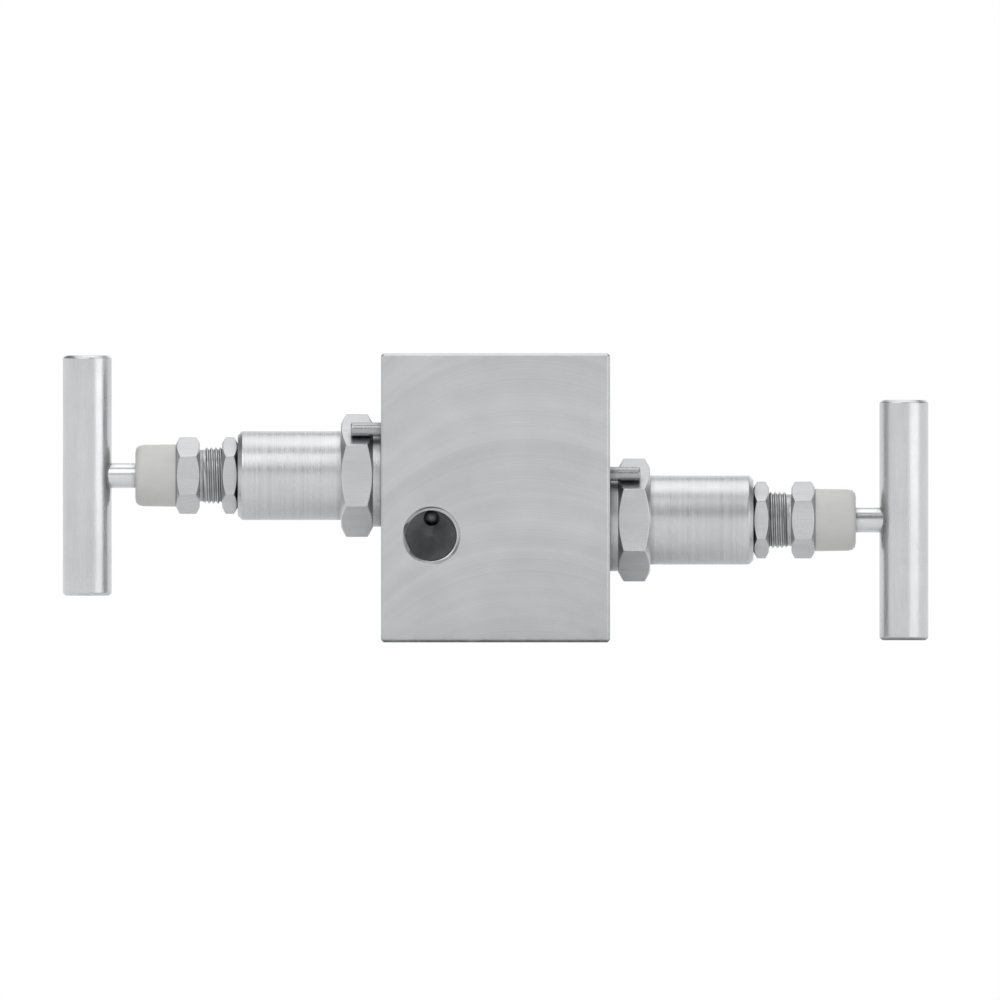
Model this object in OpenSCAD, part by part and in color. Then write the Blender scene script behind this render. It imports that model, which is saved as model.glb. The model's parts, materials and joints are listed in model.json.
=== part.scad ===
// Two-valve gauge block: an isolate valve and a vent valve screwed into one drilled block.
// Millimetres. The origin is the centre of the inlet port's mouth on the underside of the block.
// +X runs out along the isolate valve's stem, +Y to the back and +Z up to the gauge port.
// The parts of a valve are drawn along +X from the block's face, where x is 0, and then placed.

/* [Block] */
// Width of the block, from one bonnet face to the other
block_w = 51.5; // [48:0.5:70]
// Depth of the block, front to back
block_d = 38; // [34:0.5:60]
// Height of the block, from the inlet face to the gauge face
block_h = 65; // [62:0.5:90]
// Chamfer along the edges of the block
block_chamfer = 0.6; // [0.3:0.1:1.5]
// Height of the isolate valve's axis above the inlet face
isolate_z = 27.5; // [27.5:0.5:30]
// Diameter of the drilled passages and of both seats
passage_d = 5; // [4:0.5:6]

/* [Inlet and gauge ports] */
// Major diameter of the pipe thread in both ports
port_d = 20.955; // [19:0.001:22]
// Height of that thread, from its root to its crest
port_thread_h = 1.162; // [0.8:0.001:1.3]
// Depth of the straight part of a port
port_depth = 17.2; // [15:0.1:18.5]
// Height of the shallow cone at the bottom of a port
port_cone_h = 2; // [1:0.1:2.5]
// Depth of the countersink at a port's mouth
port_sink = 0.95; // [0.5:0.05:1]

/* [Vent port] */
// Major diameter of the vent port's pipe thread
vent_port_d = 13.157; // [12:0.001:14]
// Height of that thread, from its root to its crest
vent_thread_h = 0.856; // [0.5:0.001:1]
// Depth of the countersink at the vent port's mouth
vent_sink = 0.8; // [0.4:0.05:1]
// Wall left between the vent port's floor and the bonnet's thread
vent_wall = 0.8; // [0.6:0.1:2]
// Diameter of the cross drilling from the vent port to its chamber
cross_d = 3.6; // [2.6:0.1:3.8]
// How far the cross drilling cuts into the vent chamber
cross_bite = 1.2; // [0.8:0.1:1.6]

/* [Valve chambers] */
// Diameter of the bonnet's thread in the block
bonnet_thread_d = 20; // [19:0.1:21]
// Depth of that thread
bonnet_thread_len = 9.4; // [8:0.1:11]
// Diameter of the chamber below the bonnet
chamber_d = 18; // [16:0.1:18.4]
// Length of the straight part of the chamber
chamber_len = 3.9; // [3.7:0.1:5]
// How far the level passage cuts into the top of the isolate chamber
passage_bite = 1.5; // [1:0.1:2]

/* [Bonnet] */
// Diameter of the collar on the block's face
collar_d = 23; // [21:0.1:23.5]
// Thickness of the collar
collar_len = 1.8; // [1:0.1:4]
// Width across the flats of the bonnet's hexagon
bonnet_af = 24; // [24:0.5:30]
// Length of the bonnet's hexagon
bonnet_hex_len = 7.2; // [5:0.1:10]
// Diameter of the barrel
barrel_d = 20; // [18:0.1:22]
// Length of the barrel
barrel_len = 23.2; // [18:0.1:32]
// Diameter of the recess that clears the valve tip
recess_d = 10.4; // [9.6:0.1:12]

/* [Stem ring] */
// Thickness of the rubber ring that seals on the stem below the packing
stem_ring_t = 1.8; // [1.4:0.1:2]
// Length of the ring's groove in the bonnet
groove_len = 2.4; // [2.1:0.1:2.6]
// Distance from the end of the tip's recess to the middle of that groove
groove_reach = 3.8; // [2.4:0.1:4.2]

/* [Packing] */
// Diameter of the packing chamber
box_d = 11.4; // [10.6:0.1:11.8]
// Thickness of the packing washer
washer_len = 1; // [0.5:0.1:2]
// Number of packing rings
ring_count = 3; // [2:1:4]
// Height of one packing ring
ring_len = 2; // [1.5:0.1:2.5]
// Length of the thrust sleeve
sleeve_len = 4.8; // [3:0.1:6]

/* [Gland] */
// Diameter of the gland screw's thread
gland_thread_d = 12.8; // [12.4:0.1:14]
// Length of the plain nose that enters the packing chamber
gland_nose_len = 1.2; // [1:0.1:3]
// Width across the flats of the gland screw and the lock nut
gland_af = 15; // [15:0.5:18]
// Length of thread left between the lock nut and the gland's hexagon
gland_gap = 5; // [2:0.1:9]
// Length of the gland screw's hexagon
gland_hex_len = 5.3; // [4:0.1:8]
// Diameter of the spigot that carries the dust cap
spigot_d = 12; // [10:0.1:12.8]
// Length of that spigot
spigot_len = 1.7; // [1:0.1:4]
// Thickness of the lock nut
lock_nut_len = 3.5; // [3:0.1:6]

/* [Dust cap] */
// Outer diameter of the dust cap
cap_d = 14; // [13.6:0.1:15]
// Length of the dust cap
cap_len = 9.2; // [7:0.1:14]
// Thickness of the dust cap's end wall
cap_end_wall = 1.7; // [1.2:0.1:2.5]
// Radius on the dust cap's outer edge
cap_edge_r = 1.9; // [1.2:0.1:2.4]

/* [Stem and tip] */
// Diameter of the stem where the packing seals on it
stem_d = 7.2; // [6.6:0.1:7.6]
// Diameter of the stem's driving thread
stem_thread_d = 5.8; // [5.7:0.1:6.4]
// Diameter of the stem's tail, which holds the handle
tail_d = 5.6; // [5:0.1:5.7]
// Diameter of the neck behind the ball
neck_d = 3; // [2.4:0.1:3.2]
// Diameter of the ball on the stem's end
ball_d = 6.2; // [5.8:0.1:6.6]
// Distance from the seat to the centre of the ball
ball_reach = 10.47; // [9.6:0.01:11]
// Distance from the ball to the stem's shoulder, less the ball's radius
neck_len = 2.33; // [1.9:0.01:3]
// Diameter of the valve tip
tip_d = 9; // [8.8:0.1:9.2]
// Half angle of the valve tip's cone
tip_angle = 20; // [18:1:24]
// How far the tip reaches through the seat
tip_through = 1.1; // [0.6:0.1:2]
// Thickness of the rolled lip that holds the ball
tip_lip = 0.63; // [0.4:0.01:0.9]
// Travel of the tip from closed to fully open
lift = 4; // [3:0.1:5]

/* [Handle] */
// Diameter of the handle bar
bar_d = 11; // [10:0.1:12]
// Length of the handle bar
bar_len = 54; // [44:1:54]
// Chamfer on the bar's ends
bar_chamfer = 0.6; // [0.3:0.1:1]
// Gap between the dust cap and the bar with the valve closed
handle_gap = 5.3; // [3:0.1:12]
// Solid metal left beyond the stem's socket in the bar
bar_wall = 1.6; // [1:0.1:2.2]
// Diameter of the set screw
screw_d = 5; // [4:0.1:5]
// Length of the set screw
screw_len = 12.5; // [10:0.5:14]
// Width across the flats of the set screw's socket
socket_af = 2.5; // [2:0.1:2.6]
// Diameter of the hole above the set screw
access_d = 6.2; // [5.6:0.1:7]

/* [Lock pin] */
// Diameter of the pin that keeps a bonnet from turning
pin_d = 3.2; // [2.5:0.1:4]
// Length of pin that stands out of the block
pin_proud = 6.8; // [4:0.1:8]
// Length of pin in the block
pin_depth = 8; // [5:0.1:9]
// Distance of the pin from the middle of the flat beside it
pin_offset = 2.93; // [1:0.01:4]

/* [Fits] */
// Radial gap in the screwed joints
thread_gap = 0.05; // [0.03:0.01:0.08]
// Radial gap between the stem and the bores that it passes
stem_gap = 0.08; // [0.05:0.01:0.1]
// Gap between the ball and its socket in the tip
ball_gap = 0.07; // [0.04:0.01:0.1]
// Radial gap of parts that stay put in their bores
seat_gap = 0.02; // [0.01:0.01:0.03]
// Gap left at the stops with the valve fully open
stop_gap = 0.2; // [0.1:0.05:0.3]

/* [Hidden] */
$fn = 96;

// Length by which a cutting tool passes the face that it cuts
over = 1;
// Full angle of a drill's point
drill_angle = 118;
// Half angle of the cone that runs down to each seat
seat_cone = 45;
// Small chamfer on turned edges and thread ends
edge = 0.3;
// Depth left under the tip of a vertical drilling, above the axis that it meets
drill_short = 0.8;
// How far the isolate seat's drilling runs past the inlet's vertical one
drill_past = 1.7;
// How far the level passage's full width runs into the isolate chamber
passage_entry = 1.45;
// Reach of the vent's cross drilling past the valves' plane
cross_reach = 4;
// Gap between the lock pin and the flat that it guards
pin_gap = 0.05;
// Part of the gland's nose that lies in the packing chamber
nose_entry = 0.7;
// Length of tail that runs inside the gland's bore
tail_entry = 5.5;
// Height of the dimple's point above the stem's axis, and the set screw's height over it
dimple_z = 0.6;
dimple_gap = 0.1;
// Height of the access hole's floor over the set screw
access_gap = 0.8;
// Clear height between neighbouring packing rings
ring_gap = 0.04;

passage_r = passage_d / 2;
chamber_r = chamber_d / 2;
hole_r = bonnet_thread_d / 2;
vent_z = isolate_z + chamber_r + passage_r - passage_bite;
seat_x = -(bonnet_thread_len + chamber_len + (chamber_r - passage_r) / tan(seat_cone));

ball_x = seat_x + ball_reach;
ball_r = ball_d / 2;
tip_rear_x = ball_x + ball_r + tip_lip;
shoulder_x = ball_x + ball_r + neck_len;
recess_x = tip_rear_x + lift + stop_gap;

groove_x = recess_x + groove_reach;
stem_ring_r = stem_d / 2 + thread_gap + stem_ring_t / 2;
groove_r = stem_ring_r + stem_ring_t / 2 + seat_gap;

box_x = collar_len + bonnet_hex_len;
rings_x = box_x + washer_len;
sleeve_x = rings_x + ring_count * ring_len;
nose_x = sleeve_x + sleeve_len;
box_end_x = nose_x + nose_entry;
barrel_end_x = box_x + barrel_len;
gland_hex_x = barrel_end_x + lock_nut_len + gland_gap;
cap_x = gland_hex_x + gland_hex_len;
spigot_end_x = cap_x + spigot_len;
cap_end_x = cap_x + cap_len;
bar_x = cap_end_x + handle_gap + bar_d / 2;
tail_r = tail_d / 2;
socket_end_x = bar_x + bar_d / 2 - bar_wall - drill_point(tail_r + thread_gap);

screw_top_z = dimple_z + dimple_gap + screw_len;
flat_distance = bonnet_af / 2 + pin_gap + pin_d / 2;
pin_y = flat_distance * cos(60) + pin_offset * sin(60);
pin_z = flat_distance * sin(60) - pin_offset * cos(60);

vent_port_x = -(block_w / 2 - bonnet_thread_len - chamber_len / 2);
vent_port_r = vent_port_d / 2 - vent_thread_h;
cross_top_z = vent_z - chamber_r + cross_bite;
vent_floor_y = -sqrt(pow(hole_r + vent_wall, 2) - pow(chamber_r - cross_bite, 2));

// Length of the cone that a drill of radius r leaves at the end of its hole.
function drill_point(r) = r / tan(drill_angle / 2);

// Tool profile of a large port and its drilling, as [depth, radius] with the drill's tip at depth tip.
function port_profile(tip) = [
    [-over, 0],
    [-over, port_d / 2],
    [0, port_d / 2],
    [port_sink, port_d / 2 - port_thread_h],
    [port_depth, port_d / 2 - port_thread_h],
    [port_depth + port_cone_h, passage_r],
    [tip - drill_point(passage_r), passage_r],
    [tip, 0]
];

// Solid of revolution about +Z through [height, radius] points.
module revolved(points) {
    rotate_extrude() polygon([for (p = points) [p[1], p[0]]]);
}

// Solid of revolution about +X through [x, radius] points.
module turned(points) {
    rotate([0, 90, 0]) revolved(points);
}

// Round bar or ring along +X from x0 to x1, with its outer edges chamfered.
module ring(x0, x1, outer_r, inner_r, chamfer) {
    turned([
        [x0, inner_r],
        [x0, outer_r - chamfer],
        [x0 + chamfer, outer_r],
        [x1 - chamfer, outer_r],
        [x1, outer_r - chamfer],
        [x1, inner_r]
    ]);
}

// Hexagonal bar along +X with a corner on top, its corners turned off at both ends.
module hexagon(x0, length, across_flats) {
    corner_r = across_flats / sqrt(3);
    face_r = across_flats / 2 - edge;
    lead = (corner_r + edge - face_r) * tan(30);
    translate([x0, 0, 0]) intersection() {
        rotate([0, 90, 0]) cylinder(h = length, r = corner_r, $fn = 6);
        turned([
            [0, 0],
            [0, face_r],
            [lead, corner_r + edge],
            [length - lead, corner_r + edge],
            [length, face_r],
            [length, 0]
        ]);
    }
}

// Rectangle centred on the origin with its corners cut at 45 degrees.
module cut_corner_rectangle(w, h, c) {
    polygon([
        [-w / 2 + c, -h / 2],
        [w / 2 - c, -h / 2],
        [w / 2, -h / 2 + c],
        [w / 2, h / 2 - c],
        [w / 2 - c, h / 2],
        [-w / 2 + c, h / 2],
        [-w / 2, h / 2 - c],
        [-w / 2, -h / 2 + c]
    ]);
}

// Block centred on the origin with all twelve edges chamfered.
module chamfered_block(w, d, h, c) {
    intersection() {
        linear_extrude(h, center = true) cut_corner_rectangle(w, d, c);
        rotate([90, 0, 0]) linear_extrude(d, center = true) cut_corner_rectangle(w, h, c);
        rotate([90, 0, 90]) linear_extrude(w, center = true) cut_corner_rectangle(d, h, c);
    }
}

// Half section of a cup's outside or inside, with a round edge at its far end.
module rounded_half_section(r, length, corner_r) {
    square([r, length - corner_r]);
    square([r - corner_r, length]);
    translate([r - corner_r, length - corner_r]) circle(corner_r);
}

// Places a valve's part on the isolate valve's axis, on the right of the block.
module on_isolate() {
    translate([block_w / 2, 0, isolate_z]) children();
}

// Places a valve's part on the vent valve's axis, on the left of the block.
module on_vent() {
    translate([-block_w / 2, 0, vent_z]) rotate([0, 0, 180]) children();
}

// Tool for a bonnet's thread, its chamber, the seat and the drilling behind it.
module chamber_drilling(reach) {
    turned([
        [over, 0],
        [over, hole_r + edge],
        [0, hole_r + edge],
        [-edge, hole_r],
        [-bonnet_thread_len, hole_r],
        [-bonnet_thread_len, chamber_r],
        [-bonnet_thread_len - chamber_len, chamber_r],
        [seat_x, passage_r],
        [-reach + drill_point(passage_r), passage_r],
        [-reach, 0]
    ]);
}

// Tool for the lock pin's hole, in front of (side -1) or behind (side 1) the valve's own axis.
module pin_drilling(side) {
    translate([0, side * pin_y, pin_z]) turned([
        [over, 0],
        [over, pin_d / 2],
        [-pin_depth, pin_d / 2],
        [-pin_depth - drill_point(pin_d / 2), 0]
    ]);
}

// Tool for the vent port in the front face, with the cross drilling into the vent chamber.
module vent_drilling() {
    depth = block_d / 2 + vent_floor_y;
    cross_len = block_d / 2 + cross_reach;
    translate([vent_port_x, -block_d / 2, cross_top_z - vent_port_r]) rotate([-90, 0, 0]) revolved([
        [-over, 0],
        [-over, vent_port_d / 2],
        [0, vent_port_d / 2],
        [vent_sink, vent_port_r],
        [depth, vent_port_r],
        [depth + drill_point(vent_port_r), 0]
    ]);
    translate([vent_port_x, -block_d / 2, cross_top_z - cross_d / 2]) rotate([-90, 0, 0]) revolved([
        [depth - over, 0],
        [depth - over, cross_d / 2],
        [cross_len, cross_d / 2],
        [cross_len + drill_point(cross_d / 2), 0]
    ]);
}

// Block with the ports, both valve chambers and the passages that join them.
module valve_block() {
    chamber_end = bonnet_thread_len + chamber_len;
    color("lightsteelblue") difference() {
        translate([0, 0, block_h / 2]) chamfered_block(block_w, block_d, block_h, block_chamfer);
        revolved(port_profile(isolate_z - drill_short));
        translate([0, 0, block_h]) mirror([0, 0, 1])
            revolved(port_profile(block_h - vent_z - drill_short));
        on_isolate() chamber_drilling(block_w / 2 + drill_past + drill_point(passage_r));
        on_vent() chamber_drilling(block_w - chamber_end + passage_entry + drill_point(passage_r));
        on_isolate() pin_drilling(-1);
        on_vent() pin_drilling(1);
        vent_drilling();
    }
}

// Bonnet: shank screwed into the block, collar, hexagon and barrel, bored for the stem and packing.
module bonnet() {
    shank_r = hole_r - thread_gap;
    color("silver") difference() {
        union() {
            turned([
                [-bonnet_thread_len, 0],
                [-bonnet_thread_len, shank_r - edge],
                [-bonnet_thread_len + edge, shank_r],
                [0, shank_r],
                [0, collar_d / 2],
                [collar_len + edge, collar_d / 2],
                [collar_len + edge, barrel_d / 2],
                [barrel_end_x - 1, barrel_d / 2],
                [barrel_end_x, barrel_d / 2 - 1],
                [barrel_end_x, 0]
            ]);
            hexagon(collar_len, bonnet_hex_len, bonnet_af);
        }
        turned([
            [-bonnet_thread_len - over, 0],
            [-bonnet_thread_len - over, recess_d / 2],
            [recess_x, recess_d / 2],
            [recess_x, stem_d / 2 + stem_gap],
            [groove_x - groove_len / 2, stem_d / 2 + stem_gap],
            [groove_x - groove_len / 2, groove_r],
            [groove_x + groove_len / 2, groove_r],
            [groove_x + groove_len / 2, stem_d / 2 + stem_gap],
            [box_x, stem_d / 2 + stem_gap],
            [box_x, box_d / 2],
            [box_end_x, box_d / 2],
            [box_end_x, gland_thread_d / 2],
            [barrel_end_x + over, gland_thread_d / 2],
            [barrel_end_x + over, 0]
        ]);
    }
}

// Pin in the block beside a flat of the bonnet, which it keeps from turning.
module lock_pin(side) {
    color("dimgray") translate([0, side * pin_y, pin_z])
        ring(-pin_depth, pin_proud, pin_d / 2 - seat_gap, 0, edge);
}

// Rubber ring in the bonnet's groove, which seals on the stem below the packing.
module stem_ring() {
    color("black") translate([groove_x, 0, 0]) rotate([0, 90, 0])
        rotate_extrude() translate([stem_ring_r, 0]) circle(stem_ring_t / 2);
}

// Washer at the bottom of the packing chamber.
module packing_washer() {
    color("gray") ring(box_x, rings_x, box_d / 2 - seat_gap, stem_d / 2 + stem_gap, edge / 2);
}

// Stack of soft rings that seal on the stem.
module packing_rings() {
    color("white") for (i = [0 : ring_count - 1])
        ring(rings_x + i * ring_len + ring_gap / 2, rings_x + (i + 1) * ring_len - ring_gap / 2,
            box_d / 2 - seat_gap, stem_d / 2 + thread_gap, edge);
}

// Sleeve that passes the gland screw's push on to the packing.
module thrust_sleeve() {
    color("goldenrod") ring(sleeve_x, nose_x, box_d / 2 - seat_gap, stem_d / 2 + stem_gap, edge);
}

// Gland screw: nose, thread, hexagon and spigot, bored for the stem's driving thread.
module gland_screw() {
    nose_r = box_d / 2 - 2 * thread_gap;
    thread_r = gland_thread_d / 2 - thread_gap;
    thread_x = nose_x + gland_nose_len;
    color("silver") difference() {
        union() {
            turned([
                [nose_x, 0],
                [nose_x, nose_r - edge],
                [nose_x + edge, nose_r],
                [thread_x, nose_r],
                [thread_x + thread_r - nose_r, thread_r],
                [gland_hex_x + edge, thread_r],
                [gland_hex_x + edge, spigot_d / 2],
                [spigot_end_x, spigot_d / 2],
                [spigot_end_x, 0]
            ]);
            hexagon(gland_hex_x, gland_hex_len, gland_af);
        }
        turned([
            [nose_x - over, 0],
            [nose_x - over, stem_thread_d / 2 + thread_gap],
            [spigot_end_x + over, stem_thread_d / 2 + thread_gap],
            [spigot_end_x + over, 0]
        ]);
    }
}

// Nut that locks the gland screw against the barrel's end.
module lock_nut() {
    color("silver") difference() {
        hexagon(barrel_end_x, lock_nut_len, gland_af);
        ring(barrel_end_x - over, barrel_end_x + lock_nut_len + over, gland_thread_d / 2, 0, 0);
    }
}

// Plastic cap on the gland screw's spigot, which keeps dirt off the stem's thread.
module dust_cap() {
    bore_r = spigot_d / 2 + thread_gap;
    color("whitesmoke") translate([cap_x, 0, 0]) rotate([0, 90, 0]) rotate_extrude() difference() {
        rounded_half_section(cap_d / 2, cap_len, cap_edge_r);
        rounded_half_section(bore_r, cap_len - cap_end_wall, cap_edge_r / 2);
        square([tail_r + 2 * thread_gap, cap_len + over]);
    }
}

// Tip that closes the seat without turning: a cone in front, and a socket rolled over the ball.
module valve_tip() {
    tip_r = tip_d / 2;
    seat_r = passage_r - seat_gap;
    front_x = seat_x - tip_through;
    cone_end_x = seat_x + (tip_r - seat_r) / tan(tip_angle);
    lip_r = neck_d / 2 + 5 * ball_gap;
    color("slategray") difference() {
        turned([
            [front_x, 0],
            [front_x, seat_r - tip_through * tan(tip_angle)],
            [cone_end_x, tip_r],
            [tip_rear_x - 1.1, tip_r],
            [tip_rear_x, lip_r + 1.1],
            [tip_rear_x, 0]
        ]);
        translate([ball_x, 0, 0]) sphere(ball_r + ball_gap);
        ring(ball_x, tip_rear_x + over, lip_r, 0, 0);
    }
}

// Stem: ball, neck, sealing length, driving thread and the tail that holds the handle.
module stem() {
    shank_end_x = nose_x - lift - stop_gap;
    thread_end_x = spigot_end_x - tail_entry;
    tail_chamfer = tail_r / 2;
    tail_end_x = socket_end_x + tail_chamfer / 3;
    color("lightgray") difference() {
        union() {
            translate([ball_x, 0, 0]) sphere(ball_r);
            turned([
                [ball_x, 0],
                [ball_x, neck_d / 2],
                [shoulder_x, neck_d / 2],
                [shoulder_x, stem_d / 2 - edge],
                [shoulder_x + edge, stem_d / 2],
                [shank_end_x - edge, stem_d / 2],
                [shank_end_x, stem_d / 2 - edge],
                [shank_end_x, stem_thread_d / 2],
                [thread_end_x, stem_thread_d / 2],
                [thread_end_x, tail_r],
                [tail_end_x - tail_chamfer, tail_r],
                [tail_end_x, tail_r - tail_chamfer],
                [tail_end_x, 0]
            ]);
        }
        translate([bar_x, 0, 0]) revolved([
            [dimple_z, 0],
            [dimple_z + drill_point(screw_d / 2), screw_d / 2],
            [tail_r + over, screw_d / 2],
            [tail_r + over, 0]
        ]);
    }
}

// Handle bar across the stem, drilled from the side for the stem and from its end for the set screw.
module t_handle() {
    color("gainsboro") difference() {
        translate([bar_x, 0, 0]) rotate([0, -90, 0])
            ring(-bar_len / 2, bar_len / 2, bar_d / 2, 0, bar_chamfer);
        turned([
            [bar_x - bar_d / 2 - over, 0],
            [bar_x - bar_d / 2 - over, tail_r + thread_gap],
            [socket_end_x, tail_r + thread_gap],
            [socket_end_x + drill_point(tail_r + thread_gap), 0]
        ]);
        translate([bar_x, 0, 0]) revolved([
            [0, 0],
            [0, screw_d / 2],
            [screw_top_z + access_gap, screw_d / 2],
            [screw_top_z + access_gap, access_d / 2],
            [bar_len / 2 + over, access_d / 2],
            [bar_len / 2 + over, 0]
        ]);
    }
}

// Cone-point set screw that holds the handle on the stem.
module set_screw() {
    screw_r = screw_d / 2 - thread_gap;
    point_r = 0.75 * screw_r;
    point_z = dimple_z + dimple_gap;
    color("dimgray") translate([bar_x, 0, 0]) difference() {
        revolved([
            [point_z, 0],
            [point_z + drill_point(point_r), point_r],
            [point_z + drill_point(point_r) + screw_r - point_r, screw_r],
            [screw_top_z - edge, screw_r],
            [screw_top_z, screw_r - edge],
            [screw_top_z, 0]
        ]);
        translate([0, 0, screw_top_z - socket_af])
            cylinder(h = socket_af + over, r = socket_af / sqrt(3), $fn = 6);
    }
}

valve_block();
on_isolate() bonnet();  // isolate_bonnet
on_isolate() lock_pin(-1);  // isolate_lock_pin
on_isolate() stem_ring();  // isolate_stem_ring
on_isolate() packing_washer();  // isolate_packing_washer
on_isolate() packing_rings();  // isolate_packing_rings
on_isolate() thrust_sleeve();  // isolate_thrust_sleeve
on_isolate() gland_screw();  // isolate_gland_screw
on_isolate() lock_nut();  // isolate_lock_nut
on_isolate() dust_cap();  // isolate_dust_cap
on_isolate() valve_tip();  // isolate_valve_tip
on_isolate() stem();  // isolate_stem
on_isolate() t_handle();  // isolate_t_handle
on_isolate() set_screw();  // isolate_set_screw
on_vent() bonnet();  // vent_bonnet
on_vent() lock_pin(1);  // vent_lock_pin
on_vent() stem_ring();  // vent_stem_ring
on_vent() packing_washer();  // vent_packing_washer
on_vent() packing_rings();  // vent_packing_rings
on_vent() thrust_sleeve();  // vent_thrust_sleeve
on_vent() gland_screw();  // vent_gland_screw
on_vent() lock_nut();  // vent_lock_nut
on_vent() dust_cap();  // vent_dust_cap
on_vent() valve_tip();  // vent_valve_tip
on_vent() stem();  // vent_stem
on_vent() t_handle();  // vent_t_handle
on_vent() set_screw();  // vent_set_screw
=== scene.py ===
"""Looks of a two-valve gauge block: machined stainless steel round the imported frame.

Lengths are in millimetres unless a name says otherwise, and meshes are written in metres. A turned piece is
made about its own x axis. A valve's pieces share one frame: u runs out from the block's face along the stem.
"""

import json
import logging
import math
from abc import ABC, abstractmethod
from dataclasses import dataclass, replace
from enum import Enum
from functools import partial, reduce
from typing import Callable, Sequence

import bmesh
import bpy
from mathutils import Matrix, Vector

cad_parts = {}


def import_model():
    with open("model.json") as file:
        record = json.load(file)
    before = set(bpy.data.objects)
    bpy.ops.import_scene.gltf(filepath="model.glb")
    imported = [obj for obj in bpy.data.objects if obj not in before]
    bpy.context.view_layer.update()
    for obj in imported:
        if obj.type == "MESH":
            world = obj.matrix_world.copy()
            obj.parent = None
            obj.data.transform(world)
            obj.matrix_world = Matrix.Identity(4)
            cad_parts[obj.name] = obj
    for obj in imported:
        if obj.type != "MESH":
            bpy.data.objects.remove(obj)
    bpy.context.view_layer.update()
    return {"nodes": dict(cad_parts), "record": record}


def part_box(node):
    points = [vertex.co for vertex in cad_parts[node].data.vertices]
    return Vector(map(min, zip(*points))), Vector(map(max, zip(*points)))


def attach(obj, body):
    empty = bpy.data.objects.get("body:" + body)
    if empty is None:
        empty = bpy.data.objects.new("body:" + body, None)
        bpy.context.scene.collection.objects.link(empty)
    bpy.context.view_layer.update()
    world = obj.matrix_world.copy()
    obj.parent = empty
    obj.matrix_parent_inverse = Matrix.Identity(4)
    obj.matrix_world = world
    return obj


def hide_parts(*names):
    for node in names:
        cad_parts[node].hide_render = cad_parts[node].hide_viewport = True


MM = 0.001
TURN = 2 * math.pi
QUARTER_TURN = math.pi / 2
HALF_SIDE = math.pi / 6  # half the angle that one side of a hexagon takes up
CHAMFER_ANGLE = math.radians(30)
DRILL_HALF_ANGLE = math.radians(59)
SHARP_ANGLE = math.radians(40)
STEPS_ROUND = 120
STEPS_STEM = 72
STEPS_SMALL = 48
EASE_STEPS = 3
LONGEST_EASE = 0.45  # the share of an outline's side that one rounding may take
CLEAR = 1.0  # how far a cutting tool starts or ends off the surface that it cuts
SKIM = 0.001  # how far a tool's edge stays off a face, so that no two planes coincide
JOIN_M = 2e-7  # points this near to each other become one
NO_AREA_M = 1e-8  # and so do the ends of an edge this short
WHITE = (1, 1, 1, 1)
LOG = logging.getLogger("gauge_valve")

Point = tuple[float, float]
Outline = Callable[[float], list[Point]]
Colour = tuple[float, float, float]
Socket = bpy.types.NodeSocket
Thing = bpy.types.Object


# Outlines of turned pieces


@dataclass(frozen=True)
class Corner:
    """A corner of a turned outline: place u on the axis, radius r, and the rounding of its edge."""

    u: float
    r: float
    ease: float = 0.0


def step(u: float, r: float, to_r: float) -> list[Corner]:
    """Square step of an outline at u, from one radius to the other."""
    return [Corner(u, r), Corner(u, to_r)]


def softened(corners: Sequence[Corner]) -> list[Point]:
    """Outline through the corners, each rounded by its own ease.

    Args:
        corners: The corners in order round the section.

    Returns:
        Points as (u, r), always as many for the same corners' eases.
    """
    points: list[Point] = []
    for i, corner in enumerate(corners):
        if corner.ease <= 0:
            points.append((corner.u, corner.r))
            continue
        arms = []
        for other in (corners[i - 1], corners[(i + 1) % len(corners)]):
            du, dr = other.u - corner.u, other.r - corner.r
            length = math.hypot(du, dr) or 1.0
            reach = min(corner.ease, LONGEST_EASE * length) / length
            arms.append((corner.u + du * reach, corner.r + dr * reach))
        (u0, r0), (u1, r1) = arms
        for k in range(EASE_STEPS + 1):
            part = k / EASE_STEPS
            first, middle, last = (1 - part) ** 2, 2 * part * (1 - part), part * part
            u = first * u0 + middle * corner.u + last * u1
            r = first * r0 + middle * corner.r + last * r1
            points.append((u, r))
    return points


def drill_point(r: float) -> float:
    """Length of the cone that a drill of radius r leaves."""
    return r / math.tan(DRILL_HALF_ANGLE)


def round_angles(steps: int = STEPS_ROUND) -> list[float]:
    """Angles of a full turn in equal steps, both ends included."""
    return [TURN * i / steps for i in range(steps + 1)]


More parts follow.
